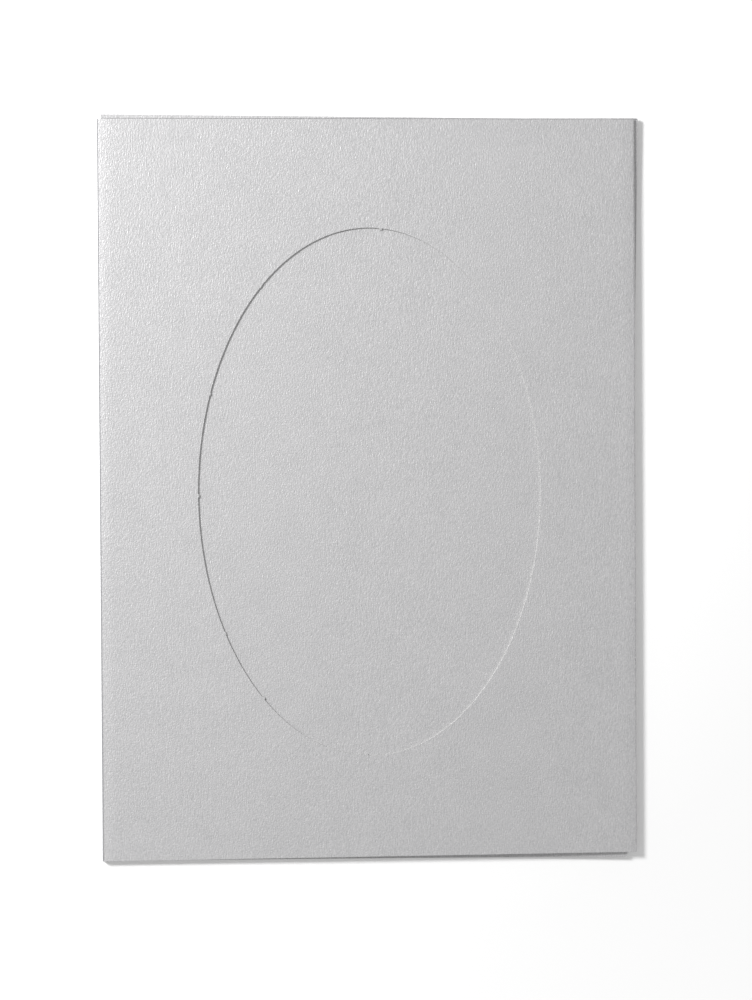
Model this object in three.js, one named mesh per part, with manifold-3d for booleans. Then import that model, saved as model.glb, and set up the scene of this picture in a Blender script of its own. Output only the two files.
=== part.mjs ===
// Aperture card: one sheet of pearl card folded into three panels, closed and lying on its back.
// Seen along its height the sheet is a flat roll: the back panel lies on the ground, the spine
// fold on the left carries the front panel, and the flap fold on the right carries the flap,
// which lies between the other two and shows through the oval window of the front panel.
// X runs across the card, Y up its height and Z through its thickness.
import * as THREE from 'three';
import { mergeVertices } from 'three/addons/utils/BufferGeometryUtils.js';
import Module from 'manifold-3d';

// Card stock and the front panel, in millimetres
const cardThickness = 0.35;
const frontWidth = 105; // over the outsides of both folds
const frontHeight = 144;

// Air between the panels, in millimetres
const gapUnderFlapEdge = 0.15; // back panel to the free edge of the flap
const gapOverFlapEdge = 0.2; // free edge of the flap to the front panel
const gapInFlapFold = 0.5; // front panel to flap, inside the flap fold
const frontSpring = 0.55; // how much higher the front panel stands at the flap fold

// Free edge of the back panel, measured from the front panel's corners
const backTopPast = 0.95; // its top corner lies beyond the flap fold
const backTopRise = 0.37; // and above the front panel's top edge
const backBottomShort = 1.7; // its bottom corner lies short of the flap fold
const backBottomDrop = 1.1; // and below the front panel's bottom edge

// Free edge of the flap, beside the spine
const flapTopInset = 0.9; // from the outside of the spine to the top corner
const flapBottomInset = 0.6; // from the outside of the spine to the bottom corner
const flapRise = 0.84; // the flap turns a little in its fold, so its free edge sits higher

// Oval window and the small stubs that the cutting die leaves on its edge
const windowWidth = 67;
const windowHeight = 103;
const windowDrop = 0.65; // centre of the window below the middle of the front panel
const stubLength = 0.35;
const stubWidth = 0.55;
const wideStubWidth = 1.5;
const stubAngles = [86, 129, 158, 180.5, 212, 231, 303, 341]; // around the oval, in degrees
const wideStubAngle = 267.5;

// Smoothness of the round stretches
const foldSteps = 14;
const ovalSteps = 7; // pairs of straight pieces between two stubs

const halfHeight = frontHeight / 2;
const halfThickness = cardThickness / 2;

// Heights of the sheet's middle surface where each panel starts and ends
const spineRadius = (gapUnderFlapEdge + gapOverFlapEdge + 2 * cardThickness) / 2;
const flapFoldRadius = (gapInFlapFold + cardThickness) / 2;
const backLevel = halfThickness;
const frontLevelAtSpine = backLevel + 2 * spineRadius;
const frontLevelAtFold = frontLevelAtSpine + frontSpring;
const flapLevelAtFold = frontLevelAtFold - 2 * flapFoldRadius;
const flapLevelAtEdge = backLevel + cardThickness + gapUnderFlapEdge;

// Centres of the two folds, and the slopes of the panels between them
const spineCentreX = spineRadius + halfThickness;
const spineCentreZ = backLevel + spineRadius;
const foldCentreX = frontWidth - flapFoldRadius - halfThickness;
const foldCentreZ = frontLevelAtFold - flapFoldRadius;
const panelRun = foldCentreX - spineCentreX;
const frontTilt = Math.atan2(frontSpring, panelRun);
const flapTilt = Math.atan2(flapLevelAtFold - flapLevelAtEdge, panelRun);

// One station is a line across the sheet: the X of its two ends, its height, the direction in
// which the sheet's outer face looks, and the Y of its two ends.
function station({ topX, bottomX = topX, z, normal, topY = halfHeight, bottomY = -halfHeight }) {
  return { topX, bottomX, z, normal, topY, bottomY };
}

// Stations around a fold, from one angle to the other, with the outer face looking outwards
function foldStations(centreX, centreZ, radius, startAngle, endAngle) {
  return Array.from({ length: foldSteps + 1 }, (_, step) => {
    const angle = THREE.MathUtils.lerp(startAngle, endAngle, step / foldSteps);
    const normal = new THREE.Vector2(Math.cos(angle), Math.sin(angle));
    const x = centreX + radius * normal.x;
    return station({ topX: x, z: centreZ + radius * normal.y, normal });
  });
}

// The whole sheet, from the free edge of the back panel to the free edge of the flap
function sheetStations() {
  const quarterTurn = Math.PI / 2;
  const backEdge = station({
    topX: frontWidth + backTopPast,
    bottomX: frontWidth - backBottomShort,
    z: backLevel,
    normal: new THREE.Vector2(0, -1),
    topY: halfHeight + backTopRise,
    bottomY: -halfHeight - backBottomDrop,
  });
  const spine = foldStations(
    spineCentreX, spineCentreZ, spineRadius, -quarterTurn, frontTilt - 3 * quarterTurn,
  );
  const flapFold = foldStations(
    foldCentreX, foldCentreZ, flapFoldRadius, quarterTurn + frontTilt, flapTilt - quarterTurn,
  );
  const flapEdge = station({
    topX: flapTopInset,
    bottomX: flapBottomInset,
    z: flapLevelAtEdge,
    normal: flapFold.at(-1).normal,
    topY: halfHeight + flapRise,
    bottomY: -halfHeight + flapRise,
  });
  return [backEdge, ...spine, ...flapFold, flapEdge];
}

// A flat strip with one slice for each station, whose corners are then laid along the stations
function foldedSheet() {
  const stations = sheetStations();
  const lastStation = stations.length - 1;
  const sheet = new THREE.BoxGeometry(1, 1, 1, lastStation, 1, 1);
  const corners = sheet.attributes.position;
  for (let i = 0; i < corners.count; i += 1) {
    const here = stations[Math.round((corners.getX(i) + 0.5) * lastStation)];
    const atTop = corners.getY(i) > 0;
    const outwards = 2 * corners.getZ(i) * halfThickness;
    const x = (atTop ? here.topX : here.bottomX) + outwards * here.normal.x;
    corners.setXYZ(i, x, atTop ? here.topY : here.bottomY, here.z + outwards * here.normal.y);
  }
  return sheet;
}

// Outline of the window: arcs of one ellipse, broken by the stubs that stand into it
function windowOutline() {
  const halfWidth = windowWidth / 2;
  const halfTall = windowHeight / 2;
  const onOval = (angle, inset) => new THREE.Vector2(
    (halfWidth - inset) * Math.cos(angle),
    (halfTall - inset) * Math.sin(angle),
  );
  // Half the angle that a stub of this width covers where it stands
  const halfAngle = (angle, width) => {
    const stretch = Math.hypot(halfWidth * Math.sin(angle), halfTall * Math.cos(angle));
    return width / 2 / stretch;
  };
  const stubs = stubAngles.map((degrees) => ({ degrees, width: stubWidth }));
  stubs.push({ degrees: wideStubAngle, width: wideStubWidth });
  stubs.sort((one, other) => one.degrees - other.degrees);
  const spans = stubs.map(({ degrees, width }) => {
    const angle = THREE.MathUtils.degToRad(degrees);
    const half = halfAngle(angle, width);
    return { start: angle - half, end: angle + half };
  });

  const outline = new THREE.Shape();
  spans.forEach((stub, i) => {
    const before = spans.at(i - 1);
    const arcStart = i === 0 ? before.end - 2 * Math.PI : before.end;
    outline.absellipse(0, 0, halfWidth, halfTall, arcStart, stub.start, false);
    const first = onOval(stub.start, stubLength);
    const second = onOval(stub.end, stubLength);
    outline.lineTo(first.x, first.y);
    outline.lineTo(second.x, second.y);
  });
  outline.closePath();
  return outline;
}

// A plug of the window's outline that passes through the front panel and ends above the flap
function windowPlug() {
  const below = halfThickness + gapOverFlapEdge / 2;
  const above = 2 * cardThickness;
  const plug = new THREE.ExtrudeGeometry(windowOutline(), {
    depth: below + above,
    bevelEnabled: false,
    curveSegments: ovalSteps,
  });
  plug.translate(0, 0, -below);
  plug.rotateY(-frontTilt);
  plug.translate(frontWidth / 2, -windowDrop, (frontLevelAtSpine + frontLevelAtFold) / 2);
  return plug;
}

const wasm = await Module();
wasm.setup();

// A closed geometry as a solid that can be cut
function toSolid(geometry) {
  const bare = geometry.index ? geometry.clone() : mergeVertices(geometry);
  bare.deleteAttribute('normal');
  bare.deleteAttribute('uv');
  const welded = mergeVertices(bare, 1e-5);
  return new wasm.Manifold(new wasm.Mesh({
    numProp: 3,
    vertProperties: new Float32Array(welded.attributes.position.array),
    triVerts: new Uint32Array(welded.index.array),
  }));
}

function toGeometry(solid) {
  const mesh = solid.getMesh();
  const geometry = new THREE.BufferGeometry();
  geometry.setAttribute('position', new THREE.BufferAttribute(mesh.vertProperties, 3));
  geometry.setIndex(new THREE.BufferAttribute(mesh.triVerts, 1));
  geometry.computeVertexNormals();
  return geometry;
}

// The origin is the middle of the card's footprint, on the ground
function centreOnGround(geometry) {
  geometry.computeBoundingBox();
  const centre = geometry.boundingBox.getCenter(new THREE.Vector3());
  geometry.translate(-centre.x, -centre.y, -geometry.boundingBox.min.z);
  return geometry;
}

const pearlCard = new THREE.MeshStandardMaterial({
  color: 0xcbcbcc,
  roughness: 0.5,
  metalness: 0.25,
});

const cutSheet = toSolid(foldedSheet()).subtract(toSolid(windowPlug()));
const foldedCard = new THREE.Mesh(centreOnGround(toGeometry(cutSheet)), pearlCard);
foldedCard.name = 'folded_card';

const group = new THREE.Group();
group.add(foldedCard);

export default group;
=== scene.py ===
import math
import bmesh
import bpy
from mathutils import Matrix, Vector, noise


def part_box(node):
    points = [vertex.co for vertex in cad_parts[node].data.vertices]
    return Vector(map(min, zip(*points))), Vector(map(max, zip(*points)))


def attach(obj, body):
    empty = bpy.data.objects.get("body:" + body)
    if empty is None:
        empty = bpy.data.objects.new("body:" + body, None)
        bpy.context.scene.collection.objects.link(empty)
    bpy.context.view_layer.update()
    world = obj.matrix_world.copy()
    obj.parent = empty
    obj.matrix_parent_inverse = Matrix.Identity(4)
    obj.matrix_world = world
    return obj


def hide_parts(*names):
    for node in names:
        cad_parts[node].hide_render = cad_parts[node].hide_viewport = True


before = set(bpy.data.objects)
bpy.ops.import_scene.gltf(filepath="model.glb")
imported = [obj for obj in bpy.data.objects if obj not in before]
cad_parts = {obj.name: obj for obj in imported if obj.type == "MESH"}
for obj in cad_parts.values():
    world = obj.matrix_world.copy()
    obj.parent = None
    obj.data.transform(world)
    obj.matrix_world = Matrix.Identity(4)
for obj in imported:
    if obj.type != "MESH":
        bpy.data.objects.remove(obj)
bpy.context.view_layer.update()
mm = 0.001
white = (1, 1, 1, 1)


def hexColour(text):  # sRGB hex to a linear colour
    parts = [int(text[i:i + 2], 16) / 255 for i in (1, 3, 5)]
    linear = [p / 12.92 if p <= 0.04045 else ((p + 0.055) / 1.055) ** 2.4 for p in parts]
    return (*linear, 1)


def addNode(tree, kind, inputs=None, **settings):  # an input is a value or a node's output
    node = tree.nodes.new(kind)
    for name, value in settings.items():
        setattr(node, name, value)
    for socket, value in (inputs or {}).items():
        if isinstance(value, bpy.types.NodeSocket):
            tree.links.new(value, node.inputs[socket])
        else:
            node.inputs[socket].default_value = value
    return node


def newMaterial(name):
    material = bpy.data.materials.new(name)
    material.use_nodes = True
    material.node_tree.nodes.clear()
    return material, material.node_tree


def newVerts(result):
    return [item for item in result["geom"] if isinstance(item, bmesh.types.BMVert)]


def edgesAmong(verts):  # the edges whose both ends are in the list
    found = set(verts)
    touching = dict.fromkeys(e for v in verts for e in v.link_edges)
    return [e for e in touching if found.issuperset(e.verts)]


# The card is one folded sheet. Its front panel comes first. The spine and the back panel are
# pulled on from its left border, the flap fold and the flap from its right border. The sheet is
# modelled as its middle surface, and a modifier gives it its thickness.
# X is measured from the outside of the spine, Y from the middle and Z from the floor.
foldedCardSizes = {  # millimetres
    "thickness": 0.35,
    "width": 105.0,  # over the outsides of both folds
    "height": 144.0,
    "backLevel": 0.175,  # middle of the sheet, as are the other levels
    "frontLevelAtSpine": 1.225,
    "frontLevelAtFold": 1.775,
    "flapLevelAtEdge": 0.83,
    "spineCorner": 0.22,  # bend radius at the top and the bottom of the spine
    "flapFold": 0.18,  # bend radius of the flap fold
    "backCurl": 0.88,  # the back panel lies flat as far as its middle, then curls up to the flap
    "backTop": (105.82, 72.31),  # free corners of the back panel
    "backBottom": (103.17, -73.0),
    "lowestPoint": -73.1,  # lower end of the card's box
    "backCorner": 0.45,  # how far those corners are rounded
    "flapTop": (0.72, 72.84),  # free corners of the flap
    "flapBottom": (0.6, -71.16),
    "windowWidth": 67.08,
    "windowHeight": 103.0,
    "windowShift": 0.04,  # centre of the window right of the middle
    "windowDrop": 0.65,  # centre of the window below the middle
    "stubs": (  # left where the die was nicked: angle round the oval in degrees, width, length
        (86, 0.55, 0.3), (129, 0.5, 0.1), (158, 0.5, 0.16), (180.5, 0.6, 0.24),
        (212, 0.55, 0.18), (231, 0.6, 0.3), (267.5, 1.5, 0.3), (303, 0.5, 0.14),
        (341, 0.5, 0.14),
    ),
    "cutSoftening": 0.04,  # how much a cut edge is rounded
    "waveHeight": 0.05,  # the front panel and the flap aren't quite flat
    "waveLength": 45.0,
    "waveFade": 12.0,  # the waves die away over this distance from a fold
    "ringCuts": 9,  # cuts between the window and the border
    "stripCuts": 40,  # cuts across the back panel and across the flap
    "spineSteps": 6,  # flat strips in each bend of the spine
    "foldSteps": 14,
    "cornerSteps": 4,
}
pointsRound = 360  # one point of the window's outline for each degree
sameLine = 1e-5  # millimetres: points this near a line lie on it
merging = 1e-4
sameLevel = 1e-3


def frontTilt(s):  # where the flat of the front panel starts and ends, and its slope
    left = s["thickness"] / 2 + s["spineCorner"]
    right = s["width"] - s["thickness"] / 2 - s["flapFold"]
    return left, right, math.atan2(s["frontLevelAtFold"] - s["frontLevelAtSpine"], right - left)


def stubSpans(s):  # start and end of each stub in degrees round the oval, and its length
    spans = []
    for angle, width, length in s["stubs"]:
        turn = math.radians(angle)
        across = s["windowWidth"] / 2 * math.sin(turn)
        up = s["windowHeight"] / 2 * math.cos(turn)
        half = math.degrees(width / 2 / math.hypot(across, up))
        spans.append((angle - half, angle + half, length))
    return spans


def frontPanel(bm, s):  # a ring of card between the window and the panel's border
    left, right, tilt = frontTilt(s)
    middle, halfRun, halfTall = (left + right) / 2, (right - left) / 2, s["height"] / 2
    outline = bmesh.ops.create_circle(
        bm, cap_ends=False, segments=pointsRound, radius=1,
    )["verts"]
    angles = {v: math.degrees(math.atan2(v.co.y, v.co.x)) % 360 for v in outline}
    stubPoints = []
    for start, end, length in stubSpans(s):  # the nearest points move to the ends of each stub
        first, last = math.floor(start + 0.5), math.floor(end + 0.5)
        last = max(last, first + 1)
        inside = [v for v in outline if first - 0.5 < angles[v] < last + 0.5]
        inside.sort(key=lambda v: angles[v])
        for i, v in enumerate(inside):
            angles[v] = start + (end - start) * i / (len(inside) - 1)
        stubPoints.append((inside, length))

    border = newVerts(bmesh.ops.extrude_edge_only(bm, edges=edgesAmong(outline)))
    borderAngles = {}
    for v in border:
        partner = next(e.other_vert(v) for e in v.link_edges if e.other_vert(v) in angles)
        borderAngles[v] = angles[partner]
    for v, angle in borderAngles.items():  # out along its own spoke as far as the border
        turn = math.radians(angle)
        across, up = s["windowWidth"] * math.cos(turn), s["windowHeight"] * math.sin(turn)
        reach = min(halfRun / max(abs(across), sameLine), halfTall / max(abs(up), sameLine))
        v.co = (middle + across * reach, up * reach, 0)
    for sideX in (left, right):  # the border has a point at each corner
        for sideY in (-halfTall, halfTall):
            corner = Vector((sideX, sideY, 0))
            min(border, key=lambda v: (v.co - corner).length).co = corner

    for v in outline:
        turn = math.radians(angles[v])
        v.co.x = s["width"] / 2 + s["windowShift"] + s["windowWidth"] / 2 * math.cos(turn)
        v.co.y = s["windowHeight"] / 2 * math.sin(turn) - s["windowDrop"]
    spokes = [e for e in bm.edges if (e.verts[0] in angles) != (e.verts[1] in angles)]
    centre = Vector((s["width"] / 2, -s["windowDrop"], 0))
    for inside, length in stubPoints:  # each stub is pulled inwards out of the window's edge
        tip = newVerts(bmesh.ops.extrude_edge_only(bm, edges=edgesAmong(inside)))
        inwards = (centre - sum((v.co for v in tip), Vector()) / len(tip)).normalized()
        bmesh.ops.translate(bm, verts=tip, vec=inwards * length)
    bmesh.ops.subdivide_edges(bm, edges=spokes, cuts=s["ringCuts"])
    for v in bm.verts:
        v.co.z = s["frontLevelAtSpine"] + (v.co.x - left) * math.tan(tilt)


def turnSheet(bm, edges, centre, axis, angle, steps):  # carry the sheet round a bend
    verts = list(dict.fromkeys(v for e in edges for v in e.verts))
    turned = bmesh.ops.spin(
        bm, geom=verts + edges, cent=centre, axis=axis, angle=angle, steps=steps,
    )
    return [item for item in turned["geom_last"] if isinstance(item, bmesh.types.BMEdge)]


def pullPanel(bm, edges, top, bottom, level, s):  # on to the free edge, in flat strips
    before = set(bm.edges)
    ends = newVerts(bmesh.ops.extrude_edge_only(bm, edges=edges))
    for v in ends:
        share = v.co.y / s["height"] + 0.5
        v.co.x = bottom[0] + (top[0] - bottom[0]) * share
        v.co.y = bottom[1] + (top[1] - bottom[1]) * share
        v.co.z = level
    found = set(ends)
    across = [
        e for e in bm.edges if e not in before and len(found.intersection(e.verts)) == 1
    ]
    bmesh.ops.subdivide_edges(bm, edges=across, cuts=s["stripCuts"])


def addSpineAndBack(bm, s, edges):  # two tight bends with a straight wall between them
    left, _, tilt = frontTilt(s)
    bend, steps = s["spineCorner"], s["spineSteps"]
    centre = (left + bend * math.sin(tilt), 0, s["frontLevelAtSpine"] - bend * math.cos(tilt))
    edges = turnSheet(bm, edges, centre, (0, -1, 0), math.pi / 2 - tilt, steps)
    wall = newVerts(bmesh.ops.extrude_edge_only(bm, edges=edges))
    for v in wall:
        v.co.z = s["backLevel"] + bend
    centre = (wall[0].co.x + bend, 0, s["backLevel"] + bend)
    edges = turnSheet(bm, edgesAmong(wall), centre, (0, -1, 0), math.pi / 2, steps)
    pullPanel(bm, edges, s["backTop"], s["backBottom"], s["backLevel"], s)


def addFoldAndFlap(bm, s, edges):  # one round bend
    left, right, tilt = frontTilt(s)
    bend = s["flapFold"]
    flapDrop = s["frontLevelAtFold"] - 2 * bend - s["flapLevelAtEdge"]
    flapTilt = math.atan2(flapDrop, right - left)
    centre = (right + bend * math.sin(tilt), 0, s["frontLevelAtFold"] - bend * math.cos(tilt))
    edges = turnSheet(
        bm, edges, centre, (0, 1, 0), math.pi + tilt - flapTilt, s["foldSteps"],
    )
    pullPanel(bm, edges, s["flapTop"], s["flapBottom"], s["flapLevelAtEdge"], s)


def buildSheet(s):
    bm = bmesh.new()
    frontPanel(bm, s)
    left, right, _ = frontTilt(s)
    leftEdges = [e for e in bm.edges if all(abs(v.co.x - left) < sameLine for v in e.verts)]
    rightEdges = [e for e in bm.edges if all(abs(v.co.x - right) < sameLine for v in e.verts)]
    addSpineAndBack(bm, s, leftEdges)
    addFoldAndFlap(bm, s, rightEdges)

    bmesh.ops.remove_doubles(bm, verts=bm.verts, dist=merging)
    corners = []
    for x, y in (s["backTop"], s["backBottom"]):
        place = Vector((x, y, s["backLevel"]))
        corners.append(min(bm.verts, key=lambda v: (v.co - place).length))
    bmesh.ops.bevel(
        bm, geom=corners, offset=s["backCorner"], offset_type="OFFSET",
        segments=s["cornerSteps"], profile=0.5, affect="VERTICES", material=-1,
    )
    for v in bm.verts:
        if v.co.z < s["backLevel"] + sameLevel:  # the back panel curls, from its middle on
            past = max(0, v.co.x / s["width"] - 0.5) * 2
            v.co.z += s["backCurl"] * past ** 2
        elif v.co.z > s["flapLevelAtEdge"] - s["thickness"] / 2:  # the other two have slow waves
            place = Vector((v.co.x, v.co.y, 0)) / s["waveLength"]
            calm = min(1, (v.co.x - left) / s["waveFade"], (right - v.co.x) / s["waveFade"])
            v.co.z += max(0, calm) * s["waveHeight"] * noise.noise(place)
    bmesh.ops.recalc_face_normals(bm, faces=bm.faces)
    return bm


def finishCard(bm, s, materials):  # put the sheet in its place, and give it its thickness
    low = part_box("folded_card")[0]
    place = Matrix.Translation((low.x, low.y - s["lowestPoint"] * mm, 0))
    bmesh.ops.transform(bm, matrix=place @ Matrix.Scale(mm, 4), verts=bm.verts)
    mesh = bpy.data.meshes.new("foldedCard")
    bm.to_mesh(mesh)
    bm.free()
    for material in materials:
        mesh.materials.append(material)
    mesh.shade_smooth()
    card = bpy.data.objects.new("foldedCard", mesh)
    bpy.context.collection.objects.link(card)

    board = card.modifiers.new("board", "SOLIDIFY")
    board.thickness = s["thickness"] * mm
    board.offset = 0
    board.use_even_offset = True
    board.material_offset_rim = 1  # the cut edges take the second material
    soft = card.modifiers.new("softCuts", "BEVEL")
    soft.width = s["cutSoftening"] * mm
    soft.segments = 2
    soft.limit_method = "ANGLE"
    soft.angle_limit = math.radians(50)
    soft.use_clamp_overlap = False
    soft.harden_normals = True
    return card


# Pearl card: wood pulp board, felt marked along its height while wet and then roller coated with
# a lacquer of mica flakes. To the eye that is a satin silver grey with a broad soft sheen, fine
# upright flecks, and now and then a flake that catches the light.
pearlCardLook = {
    "darkColour": "#c4c4c5",
    "paleColour": "#dfdedf",
    "paintedShadeColour": "#808083",  # painted shade, along the spine and beside the front panel's top edge
    # painted glints: a paler colour on the flakes that catch the light
    "paintedGlintColour": "#ececeb",
    "spineShade": 0.42,  # millimetres of painted shade in from the spine
    "shadeLineWidth": 0.16,  # width of a painted shade line on the flap, along the front panel's top edge
    "shadeLinePlace": 72.06,  # that line above the middle of the front panel
    "metallic": 0.5,  # mica mirrors about half as much as a metal
    "roughness": 0.5,
    "roughnessSpread": 0.05,
    "streakWidth": 0.2,  # felt marks, drawn about twice as coarse as real ones so that they show
    "streakLength": 0.9,
    "grainSize": 0.3,  # clumps of pulp and lacquer, drawn coarser than they are
    "cloudSize": 6.0,  # slow changes in how thick the lacquer lies
    "cloudShare": 0.25,
    "darkUpTo": 0.8,  # the pattern's values that get the dark and the pale colour
    "paleFrom": 1.45,
    "flakeSpacing": 0.5,  # the brightest mica flakes, painted glints drawn larger and sparser than real ones
    "flakeCore": 0.08,  # radius of a flake's bright spot, in parts of the spacing
    "flakeRim": 0.22,  # and of where it ends
    "flakesHidden": 0.55,  # share of the flakes that get no painted glint
    "bumpHeight": 0.055,
}


def paintedShadeMask(tree, coordinates, look, sizes):  # 1 where shade is painted
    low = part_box("folded_card")[0]
    place = addNode(tree, "ShaderNodeSeparateXYZ", {"Vector": coordinates})
    # a band of painted shade along the outside of the spine
    spine = addNode(tree, "ShaderNodeMapRange", {
        "Value": place.outputs["X"], "From Min": low.x + look["spineShade"] / 10 * mm,
        "From Max": low.x + look["spineShade"] * mm, "To Min": 1, "To Max": 0,
    }).outputs["Result"]
    # a thin line of painted shade on the flap, just above the front panel's top edge
    lineY = low.y + (look["shadeLinePlace"] - sizes["lowestPoint"]) * mm
    offset = addNode(tree, "ShaderNodeMath", {
        0: place.outputs["Y"], 1: lineY,
    }, operation="SUBTRACT").outputs[0]
    distance = addNode(tree, "ShaderNodeMath", {0: offset}, operation="ABSOLUTE").outputs[0]
    line = addNode(tree, "ShaderNodeMapRange", {
        "Value": distance, "From Min": look["shadeLineWidth"] / 4 * mm,
        "From Max": look["shadeLineWidth"] / 2 * mm, "To Min": 1, "To Max": 0,
    }).outputs["Result"]
    return addNode(tree, "ShaderNodeMath", {0: spine, 1: line}, operation="MAXIMUM").outputs[0]


def pearlCardMaterial(look, sizes):
    material, tree = newMaterial("pearl coated card")
    coordinates = addNode(tree, "ShaderNodeTexCoord").outputs["Object"]
    across, along = 1 / (look["streakWidth"] * mm), 1 / (look["streakLength"] * mm)
    streakPlace = addNode(tree, "ShaderNodeMapping", {
        "Vector": coordinates, "Scale": (across, along, across),
    }).outputs[0]
    streaks = addNode(tree, "ShaderNodeTexNoise", {
        "Vector": streakPlace, "Scale": 1, "Detail": 2, "Roughness": 0.6,
    }).outputs["Fac"]
    grain = addNode(tree, "ShaderNodeTexNoise", {
        "Vector": coordinates, "Scale": 1 / (look["grainSize"] * mm), "Detail": 2,
        "Roughness": 0.55,
    }).outputs["Fac"]
    clouds = addNode(tree, "ShaderNodeTexNoise", {
        "Vector": coordinates, "Scale": 1 / (look["cloudSize"] * mm), "Detail": 2,
        "Roughness": 0.5,
    }).outputs["Fac"]
    surface = addNode(tree, "ShaderNodeMath", {0: streaks, 1: grain}, operation="ADD").outputs[0]
    mottle = addNode(tree, "ShaderNodeMath", {
        0: clouds, 1: look["cloudShare"], 2: surface,
    }, operation="MULTIPLY_ADD").outputs[0]
    paleness = addNode(tree, "ShaderNodeMapRange", {
        "Value": mottle, "From Min": look["darkUpTo"], "From Max": look["paleFrom"],
        "To Min": 0, "To Max": 1,
    }).outputs["Result"]

    flakes = addNode(tree, "ShaderNodeTexVoronoi", {
        "Vector": coordinates, "Scale": 1 / (look["flakeSpacing"] * mm), "Randomness": 1,
    }, feature="F1")
    flakeSpot = addNode(tree, "ShaderNodeMapRange", {
        "Value": flakes.outputs["Distance"], "From Min": look["flakeCore"],
        "From Max": look["flakeRim"], "To Min": 1, "To Max": 0,
    }).outputs["Result"]
    flakeChoice = addNode(tree, "ShaderNodeSeparateColor", {
        "Color": flakes.outputs["Color"],
    }).outputs[0]
    flakeShown = addNode(tree, "ShaderNodeMath", {
        0: flakeChoice, 1: look["flakesHidden"],
    }, operation="GREATER_THAN").outputs[0]
    # painted glints on the chosen flakes
    paintedGlint = addNode(tree, "ShaderNodeMath", {
        0: flakeSpot, 1: flakeShown,
    }, operation="MULTIPLY").outputs[0]

    colour = addNode(tree, "ShaderNodeMix", {
        0: paleness, 6: hexColour(look["darkColour"]), 7: hexColour(look["paleColour"]),
    }, data_type="RGBA").outputs[2]
    colour = addNode(tree, "ShaderNodeMix", {
        0: paintedGlint, 6: colour, 7: hexColour(look["paintedGlintColour"]),
    }, data_type="RGBA").outputs[2]
    # painted shade: a darker colour along the spine and in a thin line on the flap beside the
    # front panel's top edge
    colour = addNode(tree, "ShaderNodeMix", {
        0: paintedShadeMask(tree, coordinates, look, sizes),
        6: colour, 7: hexColour(look["paintedShadeColour"]),
    }, data_type="RGBA").outputs[2]
    rough = addNode(tree, "ShaderNodeMapRange", {  # pale places are a little glossier
        "Value": mottle, "From Min": look["darkUpTo"], "From Max": look["paleFrom"],
        "To Min": look["roughness"] + look["roughnessSpread"],
        "To Max": look["roughness"] - look["roughnessSpread"],
    }).outputs["Result"]
    bump = addNode(tree, "ShaderNodeBump", {
        "Height": surface, "Strength": 1, "Distance": look["bumpHeight"] * mm,
    }).outputs["Normal"]
    shader = addNode(tree, "ShaderNodeBsdfPrincipled", {
        "Base Color": colour, "Metallic": look["metallic"], "Roughness": rough,
        "IOR": 1.5, "Normal": bump,
    })
    addNode(tree, "ShaderNodeOutputMaterial", {"Surface": shader.outputs[0]})
    return material


# Cut edge: the bare pulp core of the card, sheared by a steel die. To the eye that is a matt,
# slightly furry pale line with no sheen, a little darker than the coating beside it.
cutEdgeLook = {
    "darkColour": "#b0b0ae",
    "paleColour": "#d0cfcd",
    "fibreSize": 0.12,  # millimetres, tufts of fibres, as single fibres are too thin to show
    "bumpHeight": 0.01,
}


def cutEdgeMaterial(look):
    material, tree = newMaterial("cut edge of card")
    coordinates = addNode(tree, "ShaderNodeTexCoord").outputs["Object"]
    fibres = addNode(tree, "ShaderNodeTexNoise", {
        "Vector": coordinates, "Scale": 1 / (look["fibreSize"] * mm), "Detail": 3,
        "Roughness": 0.6,
    }).outputs["Fac"]
    colour = addNode(tree, "ShaderNodeMix", {
        0: fibres, 6: hexColour(look["darkColour"]), 7: hexColour(look["paleColour"]),
    }, data_type="RGBA").outputs[2]
    bump = addNode(tree, "ShaderNodeBump", {
        "Height": fibres, "Strength": 0.8, "Distance": look["bumpHeight"] * mm,
    }).outputs["Normal"]
    shader = addNode(tree, "ShaderNodeBsdfPrincipled", {
        "Base Color": colour, "Metallic": 0, "Roughness": 0.85, "IOR": 1.45, "Normal": bump,
    })
    addNode(tree, "ShaderNodeOutputMaterial", {"Surface": shader.outputs[0]})
    return material


print("building the card")
card = finishCard(buildSheet(foldedCardSizes), foldedCardSizes, [
    pearlCardMaterial(pearlCardLook, foldedCardSizes), cutEdgeMaterial(cutEdgeLook),
])
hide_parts("folded_card")
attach(card, "root")


# Floor and backdrop: matt white paper in one sweep. To the eye that is an even white that only
# shows the card's shadow.
studio = {
    "floorColour": "#f8f8f8",
    "floorGlow": 0.14,  # seen by the eye and in reflections only, so that the floor reads white
    "glowFrom": 0.09,  # metres from the card, where the floor starts to glow more
    "farGlow": 0.65,
    "farGlowFrom": 0.5,  # from here on it glows this much, where the lamp reaches less
    "floorSize": 8.0,
    "floorDrop": 0.00002,  # just under the card, so that the two don't flicker
    "backdropHeight": 0.6,
    "skyStrength": 0.4,
    "lampTurn": 31,  # degrees above the card's left side
    "lampHeight": 41,  # degrees above the floor
    "lampDistance": 0.62,
    "lampSize": 0.16,
    "lampPower": 3.88,
}


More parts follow.
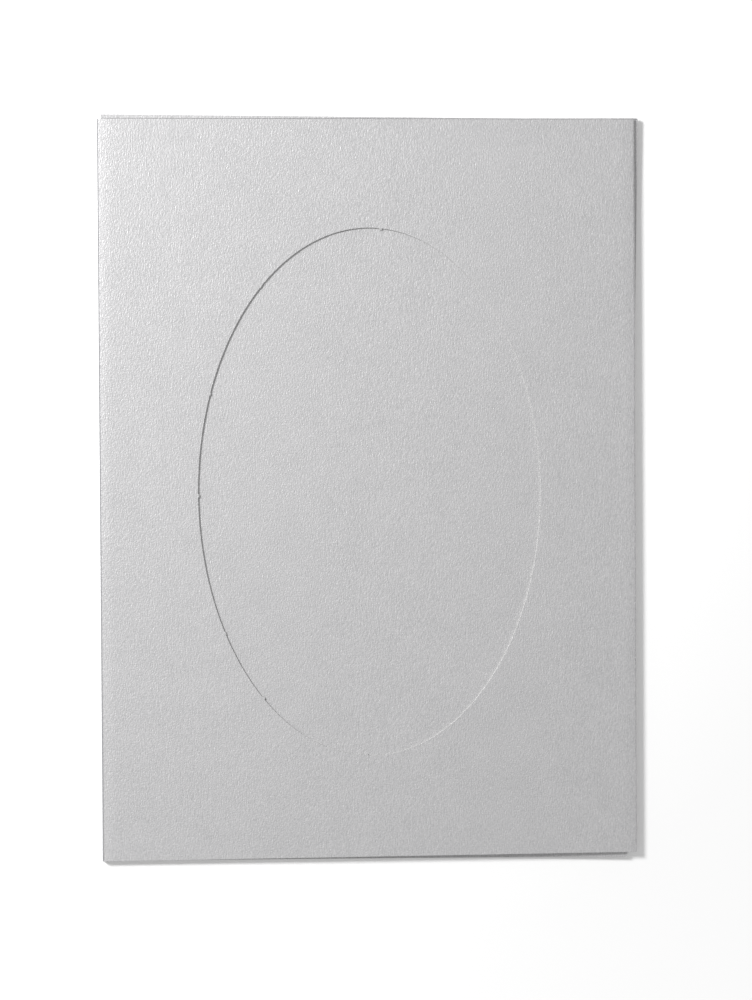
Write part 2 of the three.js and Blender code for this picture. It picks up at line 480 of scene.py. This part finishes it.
def buildFloor(values):
    bm = bmesh.new()
    bmesh.ops.create_grid(bm, x_segments=1, y_segments=1, size=values["floorSize"] / 2)
    bmesh.ops.translate(bm, verts=bm.verts, vec=(0, 0, -values["floorDrop"]))
    backdrop = newVerts(bmesh.ops.extrude_edge_only(bm, edges=bm.edges[:]))
    bmesh.ops.translate(bm, verts=backdrop, vec=(0, 0, values["backdropHeight"]))
    mesh = bpy.data.meshes.new("studioFloor")
    bm.to_mesh(mesh)
    bm.free()

    material, tree = newMaterial("matt white paper")
    path = addNode(tree, "ShaderNodeLightPath")
    seen = path.outputs["Is Camera Ray"]
    for ray in ("Is Glossy Ray", "Is Transmission Ray"):
        seen = addNode(tree, "ShaderNodeMath", {
            0: seen, 1: path.outputs[ray],
        }, operation="MAXIMUM").outputs[0]
    coordinates = addNode(tree, "ShaderNodeTexCoord").outputs["Object"]
    away = addNode(tree, "ShaderNodeVectorMath", {
        0: coordinates,
    }, operation="LENGTH").outputs["Value"]
    strength = addNode(tree, "ShaderNodeMapRange", {
        "Value": away, "From Min": values["glowFrom"], "From Max": values["farGlowFrom"],
        "To Min": values["floorGlow"], "To Max": values["farGlow"],
    }).outputs["Result"]
    glow = addNode(tree, "ShaderNodeMath", {
        0: seen, 1: strength,
    }, operation="MULTIPLY").outputs[0]
    shader = addNode(tree, "ShaderNodeBsdfPrincipled", {
        "Base Color": hexColour(values["floorColour"]), "Roughness": 1,
        "Specular IOR Level": 0, "Emission Color": white, "Emission Strength": glow,
    })
    addNode(tree, "ShaderNodeOutputMaterial", {"Surface": shader.outputs[0]})
    mesh.materials.append(material)
    floor = bpy.data.objects.new("studioFloor", mesh)
    bpy.context.collection.objects.link(floor)


def buildLight(values):
    world = bpy.data.worlds.new("studioSky")
    world.use_nodes = True
    tree = world.node_tree
    tree.nodes.clear()
    sky = addNode(tree, "ShaderNodeBackground", {
        "Color": white, "Strength": values["skyStrength"],
    })
    addNode(tree, "ShaderNodeOutputWorld", {"Surface": sky.outputs[0]})
    bpy.context.scene.world = world

    turn, height = math.radians(values["lampTurn"]), math.radians(values["lampHeight"])
    away = Vector((
        -math.cos(turn) * math.cos(height), math.sin(turn) * math.cos(height), math.sin(height),
    ))
    lamp = bpy.data.lights.new("softLamp", "AREA")
    lamp.shape = "DISK"
    lamp.size = values["lampSize"]
    lamp.energy = values["lampPower"]
    lampObject = bpy.data.objects.new("softLamp", lamp)
    lampObject.location = away * values["lampDistance"]
    lampObject.rotation_euler = (-away).to_track_quat("-Z", "Y").to_euler()
    bpy.context.collection.objects.link(lampObject)


cameraPlace = {
    "position": (-67.47, 15.92, 681.15),  # millimetres
    "aim": (0.88, -2.11, 0.0),
    "roll": -0.344,  # degrees
    "lens": 126.0,
    "clipStart": 0.01,  # metres
}


def buildCamera(values):
    data = bpy.data.cameras.new("camera")
    data.lens = values["lens"]
    data.clip_start = values["clipStart"]
    camera = bpy.data.objects.new("camera", data)
    bpy.context.collection.objects.link(camera)
    position = Vector(values["position"]) * mm
    forward = (Vector(values["aim"]) * mm - position).normalized()
    right = forward.cross(Vector((0, 1, 0))).normalized()
    facing = Matrix((right, right.cross(forward), -forward)).transposed()
    facing = facing @ Matrix.Rotation(math.radians(values["roll"]), 3, "Z")
    camera.matrix_world = Matrix.Translation(position) @ facing.to_4x4()
    bpy.context.scene.camera = camera


print("setting the floor, the light and the camera")
buildFloor(studio)
buildLight(studio)
buildCamera(cameraPlace)
bpy.context.scene.view_settings.view_transform = "Standard"
